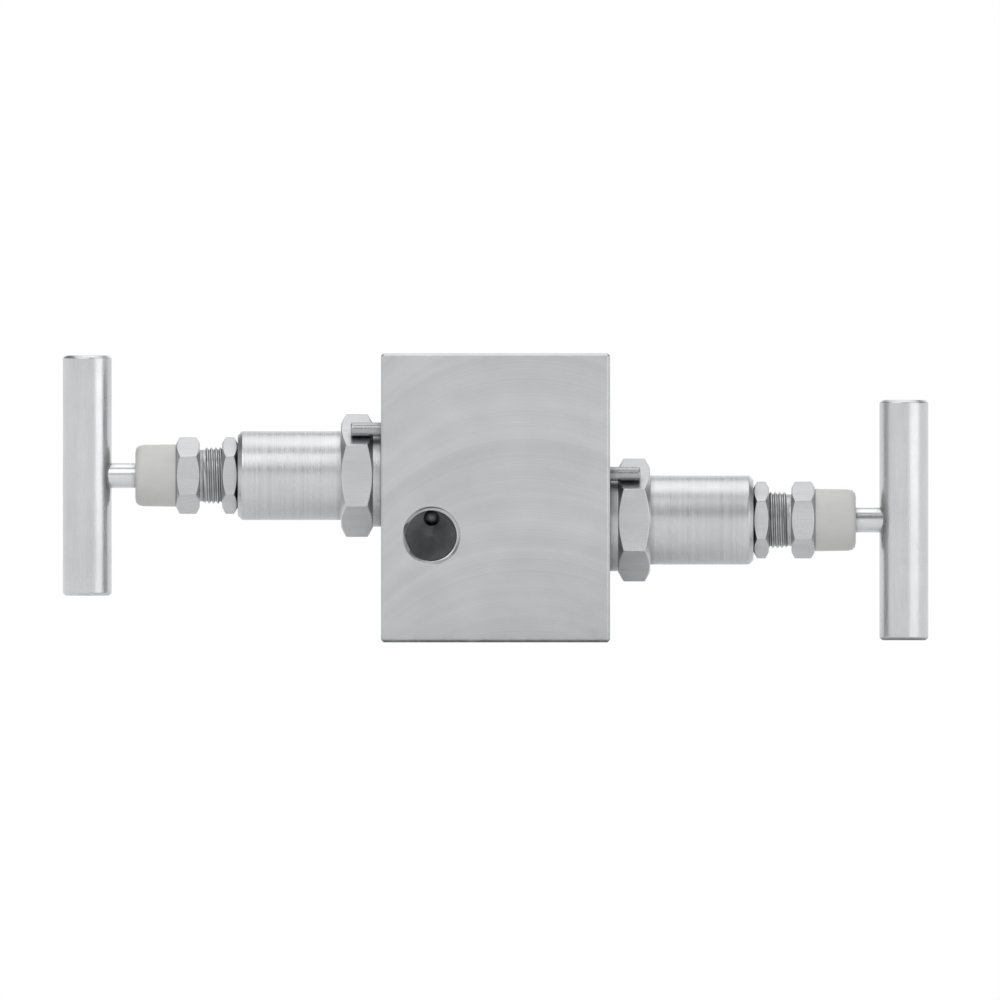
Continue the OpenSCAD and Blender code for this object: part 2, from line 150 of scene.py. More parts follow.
@dataclass(frozen=True)
class Hexagon:
    """A hexagon between two places on the axis, with one of its rounded corners on top.

    ease is the radius of those corners, and edge rounds the edges of the two ends.
    """

    flats: float
    ease: float
    start: float = 0.0
    end: float = 0.0
    edge: float = 0.0

    FACE_DROP = 0.3  # how far inside the flats the turned-off end faces stop
    DIGITS = 9  # to which equal angles agree

    @property
    def corner_centre(self) -> float:
        """Distance from the axis to the middle of a corner's rounding."""
        return (self.flats / 2 - self.ease) / math.cos(HALF_SIDE)

    @property
    def corner_reach(self) -> float:
        """Angle from a corner's middle to the end of its rounding."""
        return math.atan2(self.ease / 2, self.corner_centre + self.ease * math.cos(HALF_SIDE))

    def radius(self, angle: float) -> float:
        """Radius of the section.

        Args:
            angle: Angle from the top.

        Returns:
            Distance from the axis to the flat or to the rounded corner at that angle.
        """
        off = abs((angle + HALF_SIDE) % (2 * HALF_SIDE) - HALF_SIDE)
        if off < self.corner_reach:
            centre = self.corner_centre
            return centre * math.cos(off) + math.sqrt(self.ease**2 - (centre * math.sin(off)) ** 2)
        return self.flats / 2 / math.cos(HALF_SIDE - off)

    def angles(self) -> list[float]:
        """Angles of a full turn with more of them at the corners.

        Returns:
            The angles in order, both ends included.
        """
        found = {round(angle, self.DIGITS) for angle in round_angles()}
        for k in range(6):
            for share in (-1.0, -0.5, 0.5, 1.0):
                found.add(round((k * TURN / 6 + share * self.corner_reach) % TURN, self.DIGITS))
        return sorted(found)

    def side(self, angle: float) -> list[Corner]:
        """Corners of the hexagon's outside, turned off at 30 degrees at both ends.

        Args:
            angle: Angle from the top.

        Returns:
            Four corners from start to end.
        """
        r = self.radius(angle)
        face_r = self.flats / 2 - self.FACE_DROP
        lead = (r - face_r) * math.tan(CHAMFER_ANGLE)
        places = ((self.start, face_r), (self.start + lead, r), (self.end - lead, r), (self.end, face_r))
        return [Corner(u, radius, self.edge) for u, radius in places]


@dataclass(frozen=True)
class Thread:
    """A right-hand screw thread between two places on the axis, from the core radius up by height.

    sink is how far a countersink at its start opens it, from the crest down to the core.
    """

    pitch: float
    height: float
    core: float = 0.0
    start: float = 0.0
    end: float = 0.0
    sink: float = 0.0

    FORM = ((0.07, 0.0), (0.43, 1.0), (0.57, 1.0), (0.93, 0.0))  # shares of the pitch and the height
    FADE = 0.7  # share of the pitch over which each end fades

    def least(self, u: float) -> float:
        """Radius at u that the countersink leaves, or the core's."""
        return self.core + self.height - self.height * u / self.sink if self.sink else self.core

    def points(self, angle: float) -> list[Point]:
        """Outline of the thread, the same number of points at every angle.

        Args:
            angle: Angle of the section, over which the thread moves on by its pitch in a turn.

        Returns:
            Points as (u, r) from start to end.
        """
        turns = math.ceil((self.end - self.start) / self.pitch) + 1
        found: list[Point] = [(self.start, self.least(self.start))]
        for turn in range(turns + 1):
            for phase, share in self.FORM:
                u = self.start + self.pitch * (turn + phase - 1 + angle / TURN)
                u = min(max(u, self.start), self.end)
                from_end = min(u - self.start, self.end - u) / (self.FADE * self.pitch)
                r = self.core + self.height * share * min(max(from_end, 0.0), 1.0)
                found.append((u, max(r, self.least(u))))
        return found


# Meshes


def link(name: str, data: bpy.types.ID) -> Thing:
    """Puts an object in the scene.

    Args:
        name: Name of the new object.
        data: Its mesh, lamp or camera.

    Returns:
        The object.
    """
    made = bpy.data.objects.new(name, data)
    bpy.context.scene.collection.objects.link(made)
    return made


def clean(mesh: bpy.types.Mesh) -> None:
    """Joins points that fall together, drops faces without area and turns all faces out.

    A cut gives its points and faces in any order, so they are put in the order of their places.

    Args:
        mesh: The mesh, which is changed in place.
    """
    work = bmesh.new()
    work.from_mesh(mesh)
    bmesh.ops.remove_doubles(work, verts=work.verts, dist=JOIN_M)
    bmesh.ops.dissolve_degenerate(work, edges=work.edges, dist=NO_AREA_M)
    bmesh.ops.recalc_face_normals(work, faces=work.faces)
    middle = bmesh.types.BMFace.calc_center_median
    for parts, place in ((work.verts, lambda vert: vert.co), (work.faces, middle)):
        for index, part in enumerate(sorted(parts, key=lambda part: place(part).to_tuple())):
            part.index = index
        parts.sort()
    work.to_mesh(mesh)
    work.free()


def skin(name: str, outline: Outline, angles: Sequence[float], ring: bool = False) -> Thing:
    """Turned piece about the x axis, with angle 0 on top.

    Args:
        name: Name of the new object.
        outline: Gives the section's points, in millimetres, at an angle.
        angles: Angles of the sections over a full turn, both ends included.
        ring: Whether the section closes on itself, as a hollow piece's does.

    Returns:
        The object, linked to the scene, with a closed mesh in metres.
    """
    verts, faces = [], []
    for angle in angles:
        section = outline(angle)
        sine, cosine = math.sin(angle), math.cos(angle)
        verts += [(u * MM, -r * sine * MM, r * cosine * MM) for u, r in section]
    count = len(section)
    for i in range(len(angles) - 1):
        for j in range(count if ring else count - 1):
            here, beside = i * count + j, i * count + (j + 1) % count
            faces.append((here, beside, beside + count, here + count))
    mesh = bpy.data.meshes.new(name)
    mesh.from_pydata(verts, [], faces)
    clean(mesh)
    return link(name, mesh)


def turned(name: str, corners: Sequence[Corner], ring: bool = False, steps: int = STEPS_ROUND) -> Thing:
    """Turned piece with the same section at every angle, drawn at that many steps of the turn."""
    section = softened(corners)
    return skin(name, lambda angle: section, round_angles(steps), ring)


def carve(solid: Thing, tool: Thing, matrix: Matrix = Matrix()) -> None:
    """Cuts the tool out of the solid and deletes the tool.

    Args:
        solid: The piece that is cut; its mesh is replaced.
        tool: The closed mesh of what is taken away.
        matrix: Place of the tool.
    """
    tool.matrix_world = matrix
    bpy.context.view_layer.update()
    cut = solid.modifiers.new("cut", "BOOLEAN")
    cut.operation = "DIFFERENCE"
    cut.solver = "MANIFOLD"
    cut.object = tool
    graph = bpy.context.evaluated_depsgraph_get()
    made = bpy.data.meshes.new_from_object(solid.evaluated_get(graph))
    solid.modifiers.clear()
    made.name = solid.name
    clean(made)
    old, solid.data = solid.data, made
    spent = tool.data
    bpy.data.objects.remove(tool)
    for mesh in (old, spent):
        bpy.data.meshes.remove(mesh)


def drill(start: float, r: float, end: float, ease: float = 0.0) -> Thing:
    """Tool that drills a plain hole along its x axis, with the hole's mouth at 0.

    Args:
        start: Where the tool starts; before 0 it comes from outside and breaks the mouth's edge.
        r: Radius of the hole.
        end: Depth of its full radius, to which the drill's point is added.
        ease: Chamfer of the mouth.

    Returns:
        The tool.
    """
    mouth = [Corner(start, r)]
    if start < 0:
        mouth = [Corner(start, r + ease), Corner(SKIM, r + ease), Corner(ease + SKIM, r)]
    return turned("drill", [Corner(start, 0), *mouth, Corner(end, r), Corner(end + drill_point(r), 0)])


# Node trees


class Sheet:
    """A node tree to draw on: adds nodes and feeds their sockets."""

    def __init__(self, tree: bpy.types.NodeTree) -> None:
        """Takes the tree to draw on."""
        self.tree = tree

    def add(self, kind: str, inputs: dict | None = None, **settings: object) -> bpy.types.Node:
        """Adds a node.

        Args:
            kind: The node's type name.
            inputs: Socket name or number to a value, or to the socket that feeds it.
            settings: The node's own settings.

        Returns:
            The node.
        """
        node = self.tree.nodes.new(kind)
        for key, value in settings.items():
            setattr(node, key, value)
        self.feed(node.inputs, inputs or {})
        return node

    def feed(self, sockets: bpy.types.NodeInputs, values: dict) -> None:
        """Feeds a node's sockets.

        Args:
            sockets: The node's inputs.
            values: Socket name or number to a value, or to the socket that feeds it.
        """
        for key, value in values.items():
            if isinstance(value, Socket):
                self.tree.links.new(value, sockets[key])
            else:
                sockets[key].default_value = value

    def calc(self, operation: str, *values: object) -> Socket:
        """Output of a Math node with that operation on the values."""
        return self.add("ShaderNodeMath", dict(enumerate(values)), operation=operation).outputs[0]

    def weigh(self, *terms: tuple[Socket, object]) -> Socket:
        """Sum of values, each of them times its share."""
        parts = [self.calc("MULTIPLY", value, share) for value, share in terms]
        return reduce(partial(self.calc, "ADD"), parts)

    def vector(self, operation: str, *values: object) -> Socket:
        """Output of a Vector Math node: a number for a dot product or a length, or else a vector."""
        node = self.add("ShaderNodeVectorMath", dict(enumerate(values)), operation=operation)
        return node.outputs["Value" if operation in ("DOT_PRODUCT", "LENGTH") else "Vector"]

    def scaled(self, vector: object, factor: object) -> Socket:
        """The vector times a number."""
        inputs = {0: vector, "Scale": factor}
        return self.add("ShaderNodeVectorMath", inputs, operation="SCALE").outputs["Vector"]

    def span(self, value: object, *limits: float) -> Socket:
        """Output of a Map Range node from the first two limits to 0 and 1, or to the other two."""
        return self.add("ShaderNodeMapRange", dict(enumerate((value, *limits)))).outputs[0]

    def noise(self, place: Socket, scale: float, detail: float = 2.0) -> Socket:
        """Output of a Noise node over space."""
        return self.add("ShaderNodeTexNoise", {"Vector": place, "Scale": scale, "Detail": detail}).outputs[0]

    def noise_along(self, turns: Socket, scale: float, detail: float = 2.0) -> Socket:
        """Output of a Noise node over a line."""
        inputs = {"W": turns, "Scale": scale, "Detail": detail}
        return self.add("ShaderNodeTexNoise", inputs, noise_dimensions="1D").outputs[0]

    def blend(self, share: object, first: object, second: object) -> Socket:
        """Colour output of a Mix node from first to second."""
        return self.add("ShaderNodeMix", {0: share, 6: first, 7: second}, data_type="RGBA").outputs[2]

    def axes(self, vector: Socket) -> bpy.types.NodeOutputs:
        """The vector's x, y and z."""
        return self.add("ShaderNodeSeparateXYZ", {0: vector}).outputs

    def millimetres(self) -> Socket:
        """The piece's own coordinates in millimetres."""
        return self.scaled(self.add("ShaderNodeTexCoord").outputs["Object"], 1 / MM)

    def use(self, tree: bpy.types.NodeTree, **inputs: object) -> bpy.types.NodeOutputs:
        """Outputs of a group that is placed with these inputs."""
        return self.add("ShaderNodeGroup", inputs, node_tree=tree).outputs

    def shown(self) -> Socket:
        """Mask of the rays that show the surroundings, in the picture or in metal and glass.

        Returns:
            1 on those rays and 0 on the ones that only carry light.
        """
        path = self.add("ShaderNodeLightPath").outputs
        mirrored = self.calc("MAXIMUM", path["Is Glossy Ray"], path["Is Transmission Ray"])
        return self.calc("MAXIMUM", path["Is Camera Ray"], mirrored)


class Group(Sheet):
    """A shader node group under construction, whose inputs and outputs are all numbers."""

    def __init__(self, name: str, inputs: Sequence[str], outputs: Sequence[str]) -> None:
        """Makes the group's sockets.

        Args:
            name: Name of the group.
            inputs: Names of the inputs, which each material sets.
            outputs: Names of the outputs.
        """
        super().__init__(bpy.data.node_groups.new(name, "ShaderNodeTree"))
        for way, labels in (("INPUT", inputs), ("OUTPUT", outputs)):
            for label in labels:
                self.tree.interface.new_socket(label, in_out=way, socket_type="NodeSocketFloat")
        self.place = self.millimetres()
        self.given = self.tree.nodes.new("NodeGroupInput").outputs
        self.result = self.tree.nodes.new("NodeGroupOutput").inputs

    def put(self, **values: Socket) -> bpy.types.NodeTree:
        """Feeds the group's outputs, each times the group's Amount where it has one.

        Args:
            values: Each output's name and the socket that feeds it.

        Returns:
            The finished group.
        """
        if "Amount" in self.given:
            amount = self.given["Amount"]
            values = {label: self.calc("MULTIPLY", value, amount) for label, value in values.items()}
        self.feed(self.result, values)
        return self.tree

    def stretched(self, *shares: float) -> Socket:
        """The place with each axis times its share, so that marks on it are longer where a share is small."""
        return self.vector("MULTIPLY", self.place, shares)


class Lay(Enum):
    """Which way the tool marks of a finish run."""

    TURNED = "turning_marks"
    DRAWN = "drawn_marks"
    MILLED = "milling_marks"
    MOULDED = "moulded_skin"


class Marks(Group):
    """Group of one lay's tool marks: their Height and Tone at a spacing of Feed."""

    COARSE = 0.5  # the feed at which grain has the scale it is given

    def __init__(self, lay: Lay) -> None:
        """Starts the group of that lay."""
        super().__init__(lay.value, ("Feed",), ("Height", "Tone"))
        self.spacing = self.given["Feed"]

    def grain(self, vector: Socket, scale: float, detail: float = 2.0) -> Socket:
        """Noise over the vector that grows with the feed."""
        return self.noise(self.scaled(vector, self.calc("DIVIDE", self.COARSE, self.spacing)), scale, detail)


def turning_marks() -> bpy.types.NodeTree:
    """Fine rings that a lathe leaves round the x axis.

    Returns:
        The finished group.
    """
    wander_mm = 0.12
    sheet = Marks(Lay.TURNED)
    x, y, z = sheet.axes(sheet.place)
    radius = sheet.calc("SQRT", sheet.weigh((y, y), (z, z)))
    wander = sheet.calc("MULTIPLY", sheet.noise(sheet.place, scale=0.15), wander_mm)
    turns = sheet.calc("DIVIDE", sheet.calc("ADD", sheet.calc("ADD", x, radius), wander), sheet.spacing)
    groove = sheet.calc("ABSOLUTE", sheet.calc("SINE", sheet.calc("MULTIPLY", turns, math.pi)))
    fine, broad = sheet.noise_along(turns, scale=2.3, detail=3.0), sheet.noise_along(turns, scale=0.21)
    height = sheet.weigh((groove, 0.35), (fine, 1.0))
    return sheet.put(Height=height, Tone=sheet.weigh((fine, 0.5), (broad, 0.5)))


def drawn_marks() -> bpy.types.NodeTree:
    """Long scores of drawn and ground bar along the x axis.

    Returns:
        The finished group.
    """
    sheet = Marks(Lay.DRAWN)
    fine = sheet.grain(sheet.stretched(0.035, 1.0, 1.0), scale=2.0, detail=3.0)
    broad = sheet.noise(sheet.stretched(0.02, 0.35, 0.35), scale=1.0)
    return sheet.put(Height=fine, Tone=sheet.weigh((fine, 0.5), (broad, 0.5)))


def milling_marks() -> bpy.types.NodeTree:
    """Overlapping arcs of a face mill on the faces of a block.

    Returns:
        The finished group.
    """
    cutter_r, cutter_off, least_square, wander_mm = 46.0, 7.0, 1.0, 0.5
    sheet = Marks(Lay.MILLED)
    x, y, z = sheet.axes(sheet.place)
    normal = sheet.add("ShaderNodeNewGeometry").outputs["True Normal"]
    nx, ny, nz = (sheet.calc("ABSOLUTE", part) for part in sheet.axes(normal))
    on_side = sheet.calc("GREATER_THAN", nx, sheet.calc("MAXIMUM", ny, nz))
    on_top = sheet.calc("GREATER_THAN", nz, sheet.calc("MAXIMUM", nx, ny))
    across = sheet.weigh((x, sheet.calc("SUBTRACT", 1.0, on_side)), (y, on_side))
    along = sheet.weigh((z, sheet.calc("SUBTRACT", 1.0, on_top)), (y, on_top))
    off = sheet.calc("SUBTRACT", across, cutter_off)
    square = sheet.calc("SUBTRACT", cutter_r**2, sheet.calc("MULTIPLY", off, off))
    rise = sheet.calc("SQRT", sheet.calc("MAXIMUM", square, least_square))
    arc, wander = sheet.calc("SUBTRACT", along, rise), sheet.noise(sheet.place, scale=0.06)
    turns = sheet.calc("DIVIDE", sheet.weigh((arc, 1.0), (wander, wander_mm)), sheet.spacing)
    fine, broad = sheet.noise_along(turns, scale=3.7, detail=3.0), sheet.noise_along(turns, scale=0.17)
    scratch = sheet.noise(sheet.stretched(1.0, 1.0, 0.06), scale=3.1)
    height = sheet.weigh((sheet.calc("FRACT", turns), 0.3), (fine, 1.0), (scratch, 0.25))
    return sheet.put(Height=height, Tone=sheet.weigh((fine, 0.4), (broad, 0.6)))


def moulded_skin() -> bpy.types.NodeTree:
    """Soft orange-peel skin of moulded plastic.

    Returns:
        The finished group.
    """
    sheet = Marks(Lay.MOULDED)
    fine, broad = sheet.grain(sheet.place, scale=1.0), sheet.noise(sheet.place, scale=0.22)
    return sheet.put(Height=fine, Tone=sheet.weigh((fine, 0.3), (broad, 0.7)))


def worn_edges() -> bpy.types.NodeTree:
    """Outside edges, rubbed bright in patches.

    Returns:
        The finished group.
    """
    reach_mm, turned_away, patchy = 0.35, (0.995, 0.90), (0.35, 0.6, 0.25, 1.0)
    sheet = Group("worn_edges", ("Amount",), ("Mask",))
    eased = sheet.add("ShaderNodeBevel", {"Radius": reach_mm * MM}, samples=6).outputs[0]
    flat = sheet.add("ShaderNodeNewGeometry").outputs["Normal"]
    edge = sheet.span(sheet.vector("DOT_PRODUCT", eased, flat), *turned_away)
    patches = sheet.span(sheet.noise(sheet.place, scale=0.7, detail=4.0), *patchy)
    return sheet.put(Mask=sheet.calc("MULTIPLY", edge, patches))


def dirt_in_corners() -> bpy.types.NodeTree:
    """Painted shade in recesses, from ambient occlusion, with patches of the oil and dust that settle there.

    Returns:
        The finished group.
    """
    reach_mm, shut_in, patchy = 2.2, (0.85, 0.25), (0.3, 0.65, 0.55, 1.0)
    sheet = Group("dirt_in_corners", ("Amount",), ("Mask",))
    # ambient occlusion darkens shut-in places: this is painted shade
    openness = sheet.add("ShaderNodeAmbientOcclusion", {"Distance": reach_mm * MM}, samples=8).outputs["AO"]
    patches = sheet.span(sheet.noise(sheet.place, scale=0.45, detail=3.0), *patchy)
    return sheet.put(Mask=sheet.calc("MULTIPLY", sheet.span(openness, *shut_in), patches))


def handling() -> bpy.types.NodeTree:
    """Cloudy film of handled metal.

    Returns:
        The finished group.
    """
    cloudy = (0.35, 0.65)
    sheet = Group("handling", (), ("Film",))
    smears = sheet.noise(sheet.stretched(0.4, 1.0, 0.5), scale=0.35, detail=4.0)
    clouds = sheet.noise(sheet.place, scale=0.055, detail=3.0)
    return sheet.put(Film=sheet.span(sheet.weigh((clouds, 0.6), (smears, 0.4)), *cloudy))


# Finishes

STEEL_EDGE = (0.86, 0.87, 0.88)
# colour of the painted shade in recesses, together with oil dirt
SHADE_AND_OIL_DARK = (0.05, 0.048, 0.045)


@dataclass(frozen=True)
class Finish:
    """How one surface is made and worn.

    colour and worn are the linear colours of the surface and of its rubbed edges, and the third colour is the
    painted shade, with oil dirt, in its recesses; feed is the spacing of the tool marks and relief their
    depth;
    tone is how far the marks change the colour.
    """

    name: str
    colour: Colour
    roughness: float
    feed: float
    relief: float
    lay: Lay = Lay.TURNED
    tone: float = 0.08
    worn: Colour = STEEL_EDGE
    shade_and_grime: Colour = SHADE_AND_OIL_DARK
    wear: float = 0.6
    dirt: float = 0.6
    metallic: float = 1.0
    anisotropy: float = 0.0


MILLED_BLOCK = Finish("milled_steel", (0.55, 0.56, 0.57), 0.33, 0.9, 0.014, Lay.MILLED, tone=0.10)
TURNED_BONNET = Finish("turned_steel", (0.59, 0.60, 0.61), 0.27, 0.22, 0.010, tone=0.09, anisotropy=0.5)
TURNED_GLAND = Finish("turned_gland_steel", (0.52, 0.53, 0.54), 0.30, 0.18, 0.008, anisotropy=0.4)
HEXAGON_BAR = Finish("hexagon_bar_steel", (0.56, 0.57, 0.58), 0.30, 0.2, 0.008, Lay.DRAWN, tone=0.09)
ROUND_BAR = Finish("round_bar_steel", (0.60, 0.61, 0.62), 0.26, 0.2, 0.008, Lay.DRAWN)
GROUND_STEM = Finish("ground_stem_steel", (0.66, 0.67, 0.68), 0.18, 0.12, 0.004, tone=0.05, anisotropy=0.5)
TIP_STEEL = Finish("tip_steel", (0.46, 0.47, 0.49), 0.22, 0.12, 0.004, tone=0.05)
PIN_STEEL = Finish("pin_steel", (0.40, 0.41, 0.42), 0.25, 0.15, 0.005, tone=0.06)
SCREW_STEEL = Finish("black_screw_steel", (0.10, 0.10, 0.105), 0.42, 0.2, 0.006, worn=(0.5, 0.5, 0.5))
BRONZE = Finish("turned_bronze", (0.62, 0.42, 0.22), 0.32, 0.2, 0.008, worn=(0.85, 0.65, 0.4))
# each recess colour given below is painted shade together with oil dirt
CAP_PLASTIC = Finish(
    "cap_plastic", (0.50, 0.50, 0.485), 0.42, 0.5, 0.01, Lay.MOULDED, tone=0.03,
    worn=(0.62, 0.62, 0.60), shade_and_grime=(0.16, 0.155, 0.15), wear=0.35, dirt=0.5, metallic=0.0,
)
SOFT_PACKING = Finish(
    "soft_packing", (0.86, 0.86, 0.83), 0.5, 0.4, 0.008, Lay.MOULDED, tone=0.04,
    worn=(0.9, 0.9, 0.88), shade_and_grime=(0.3, 0.3, 0.3), wear=0.2, dirt=0.4, metallic=0.0,
)
BLACK_RUBBER = Finish(
    "black_rubber", (0.03, 0.03, 0.03), 0.5, 0.3, 0.006, Lay.MOULDED, tone=0.06,
    worn=(0.06, 0.06, 0.06), shade_and_grime=(0.01, 0.01, 0.01), wear=0.2, dirt=0.3, metallic=0.0,
)


class Finisher:
    """Makes each finish's material once, from the shared groups.

    MARKED is the range of the marks' tone that shows, and UNEVEN is how far it spreads the roughness. The
    others say how film, wear and the painted shade with oil dirt in recesses change tone or roughness.
    """

    MARKED = (0.3, 0.7)
    UNEVEN = 0.05
    FILM_TONE = (1.03, 0.96)
    FILM_ROUGH = (-0.03, 0.05)
    WORN_ROUGH = -0.08
    SHADE_AND_DIRT_ROUGH = 0.2

    def __init__(self) -> None:
        """Builds the shared groups."""
        self.lays = {
            Lay.TURNED: turning_marks(),
            Lay.DRAWN: drawn_marks(),
            Lay.MILLED: milling_marks(),
            Lay.MOULDED: moulded_skin(),
        }
        self.edges, self.corners, self.film = worn_edges(), dirt_in_corners(), handling()
        self.made: dict[Finish, bpy.types.Material] = {}

    def material(self, finish: Finish) -> bpy.types.Material:
        """Material of a finish, made at its first use.

        Args:
            finish: The finish.

        Returns:
            Its material.
        """
        if finish in self.made:
            return self.made[finish]
        material = bpy.data.materials.new(finish.name)
        material.use_nodes = True
        surface = material.node_tree.nodes["Principled BSDF"]
        sheet = Sheet(material.node_tree)
        marks = sheet.use(self.lays[finish.lay], Feed=finish.feed)
        worn = sheet.use(self.edges, Amount=finish.wear)["Mask"]
        # mask of the painted shade in recesses, with patches of oil dirt
        dirt = sheet.use(self.corners, Amount=finish.dirt)["Mask"]
        film = sheet.use(self.film)["Film"]
        tone = sheet.span(marks["Tone"], *self.MARKED, 1 - finish.tone, 1 + finish.tone)
        tone = sheet.calc("MULTIPLY", tone, sheet.span(film, 0.0, 1.0, *self.FILM_TONE))
        colour = sheet.scaled(finish.colour, tone)
        colour = sheet.blend(worn, colour, (*finish.worn, 1))
        # paints that shade, and the oil dirt, into the colour
        colour = sheet.blend(dirt, colour, (*finish.shade_and_grime, 1))
        spread = (finish.roughness - self.UNEVEN, finish.roughness + self.UNEVEN)
        rough = sheet.span(marks["Tone"], *self.MARKED, *spread)
        rough = sheet.calc("ADD", rough, sheet.span(film, 0.0, 1.0, *self.FILM_ROUGH))
        rough = sheet.weigh((rough, 1.0), (worn, self.WORN_ROUGH), (dirt, self.SHADE_AND_DIRT_ROUGH))
        bump = sheet.add("ShaderNodeBump", {"Height": marks["Height"], "Distance": finish.relief * MM})
        inputs = {
            "Base Color": colour, "Roughness": rough, "Normal": bump.outputs[0],
            "Metallic": finish.metallic, "Anisotropic": finish.anisotropy,
        }
        if finish.anisotropy:
            inputs["Tangent"] = sheet.add("ShaderNodeTangent", direction_type="RADIAL", axis="X").outputs[0]
        sheet.feed(surface.inputs, inputs)
        self.made[finish] = material
        return material


# The object


@dataclass
class Fitting:
    """A made piece with its place, and what the frame needs to know of it."""

    piece: Thing
    matrix: Matrix
    slot: str
    finish: Finish
    hexagon: Hexagon | None = None
    body: str = "root"

    ENDING = "_body"
    LEVEL = 0.02  # how far along x the normal of a flat's face may lean
    NEAR_M = 0.01 * MM  # how far off the flat the face may lie

    @property
    def node(self) -> str:
        """Name of the CAD node that the piece stands for."""
        return self.piece.name.removesuffix(self.ENDING)

    def dress(self, finisher: Finisher) -> None:
        """Shades the piece, gives it its finishes and puts it on its body.

        Args:
            finisher: Makes the materials.
        """
        mesh = self.piece.data
        mesh.shade_smooth()
        mesh.set_sharp_from_angle(angle=SHARP_ANGLE)
        self.piece.modifiers.new("flat_faces", "WEIGHTED_NORMAL").keep_sharp = True
        mesh.materials.clear()
        mesh.materials.append(finisher.material(self.finish))
        if self.hexagon:
            mesh.materials.append(finisher.material(HEXAGON_BAR))
            for face in mesh.polygons:
                face.material_index = int(self.on_flat(face))
        self.piece.matrix_world = self.matrix
        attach(self.piece, self.body)
        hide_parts(self.node)
        LOG.info("%s: %d faces, rides on %s", self.piece.name, len(mesh.polygons), self.body)

    def on_flat(self, face: bpy.types.MeshPolygon) -> bool:
        """Whether a face lies on one of the hexagon's flats, which keep the bar's drawn surface."""
        off = abs(face.center.dot(face.normal) - self.hexagon.flats / 2 * MM)
        return abs(face.normal.x) < self.LEVEL and off < self.NEAR_M


class Assembly(ABC):
    """A group of pieces that is made and dressed together."""

    @abstractmethod
    def fittings(self) -> list[Fitting]:
        """The pieces of the group, made and ready to be dressed."""

    def build(self, finisher: Finisher) -> None:
        """Makes and dresses every piece of the group."""
        for fitting in self.fittings():
            fitting.dress(finisher)


@dataclass
class ValveFrame:
    """Where one valve sits: its name, the side it points to and its axes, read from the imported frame."""

    name: str
    outward: int

    def __post_init__(self) -> None:
        """Reads the valve's axis from its handle, its face from the block and its pin from the pin."""
        low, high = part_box(f"{self.name}_t_handle")
        self.axis_z: float = (low.z + high.z) / 2 / MM
        low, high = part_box("valve_block")
        face = high.x if self.outward > 0 else low.x
        turn = Matrix.Rotation(0 if self.outward > 0 else math.pi, 4, "Z")
        self.matrix: Matrix = Matrix.Translation((face, 0, self.axis_z * MM)) @ turn
        low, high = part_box(f"{self.name}_lock_pin")
        middle = (low + high) / 2
        self.pin: Matrix = Matrix.Translation((face, middle.y, middle.z)) @ turn
        self.pin_proud: float = (max(abs(low.x), abs(high.x)) - abs(face)) / MM

    def label(self, piece: str) -> str:
        """Name of one of this valve's made pieces."""
        return f"{self.name}_{piece}{Fitting.ENDING}"


@dataclass(frozen=True)
class Port:
    """A threaded port with a countersunk mouth, cut inwards along its own x axis.

    Behind the bore, which is depth long, a cone leads to the drilling of radius end_r. Its point is at reach.
    """

    thread: Thread
    depth: float
    cone: float
    end_r: float
    reach: float

    MOUTH_SPARE = 0.12
    FLOOR_EASE = 0.4
    DRILL_EASE = 0.1

    def tool(self) -> Thing:
        """Solid that cuts the port and the drilling behind it.

        Returns:
            The solid, with the port's mouth at 0 and its x axis pointing in.
        """
        thread = self.thread
        ahead_r = thread.core + thread.height + self.MOUTH_SPARE
        ahead = [(-CLEAR, 0.0), (-CLEAR, ahead_r), (-SKIM, ahead_r)]
        floor = softened([
            Corner(thread.end, thread.core),
            Corner(self.depth, thread.core, self.FLOOR_EASE),
            Corner(self.depth + self.cone, self.end_r, self.DRILL_EASE),
            Corner(self.reach - drill_point(self.end_r), self.end_r),
            Corner(self.reach, 0),
        ])
        return skin("port", lambda angle: ahead + thread.points(angle) + floor[1:], round_angles())


